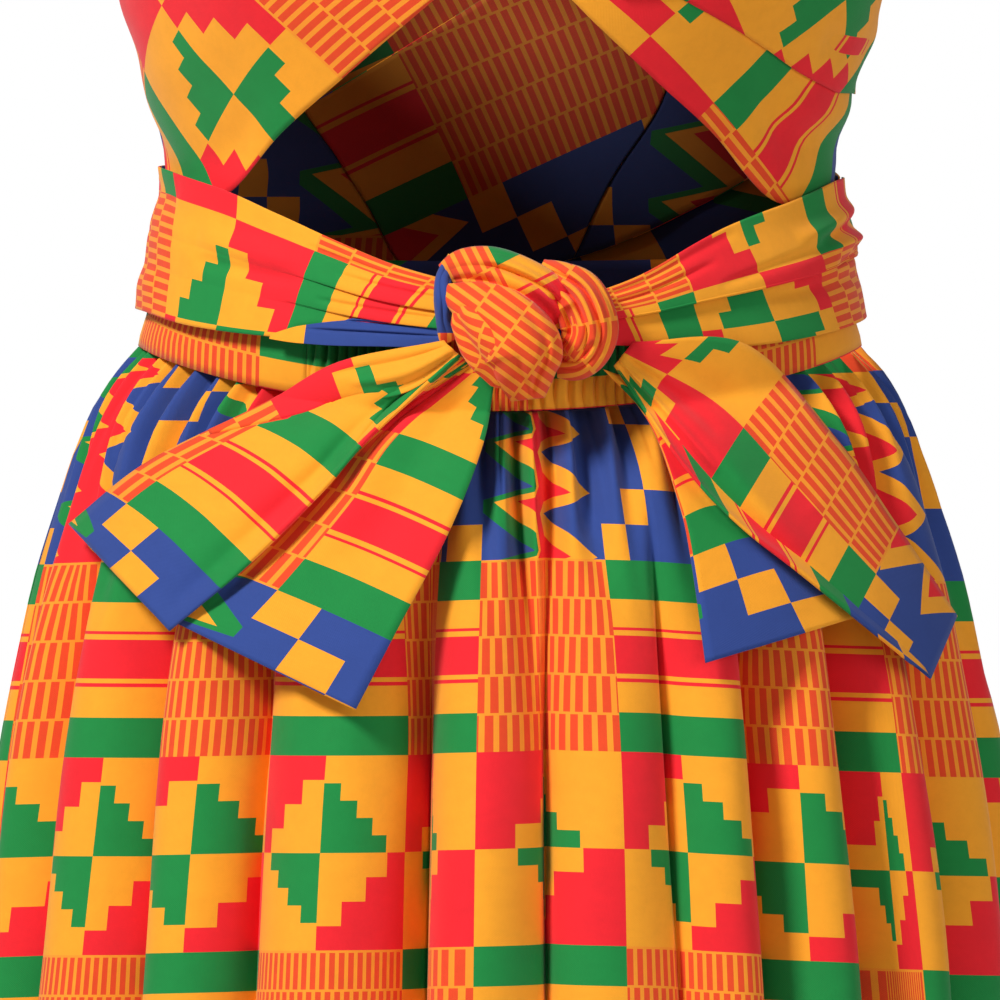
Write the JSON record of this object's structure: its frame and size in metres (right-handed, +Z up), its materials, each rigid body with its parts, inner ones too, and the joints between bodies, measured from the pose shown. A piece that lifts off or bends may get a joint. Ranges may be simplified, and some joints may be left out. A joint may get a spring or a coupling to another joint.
{
  "type": "ankara wax print dress",
  "caption": "Worn halter dress in kente-style wax print: gathered skirt on a waistband, scarf wound over the bust and tied in a front knot.",
  "frame": {"origin": "the middle of the neck band at the back of the neck, where the wearer's neck holds the dress", "axes": "+Z up, -Y out of the dress's front, +X to the right of someone who looks at its front"},
  "size_m": [0.4894, 0.4068, 1.1716],
  "materials": {
    "print": "wax-print cotton poplin, matt",
    "band": "wax-print cotton poplin, matt"
  },
  "bodies": {
    "root": {"skirt_front": "print", "skirt_back": "print", "waistband_elastic": "band", "waistband_plain": "band", "bust_strip_left": "print", "bust_strip_right": "print", "neck_band": "print", "back_cross_outer": "print", "back_cross_inner": "print", "waist_wrap_left": "print", "waist_wrap_right": "print", "knot_front_turn": "print", "knot_top_turn": "print", "knot_side_turn": "print", "tail_left": "print", "tail_right": "print"}
  },
  "joints": []
}
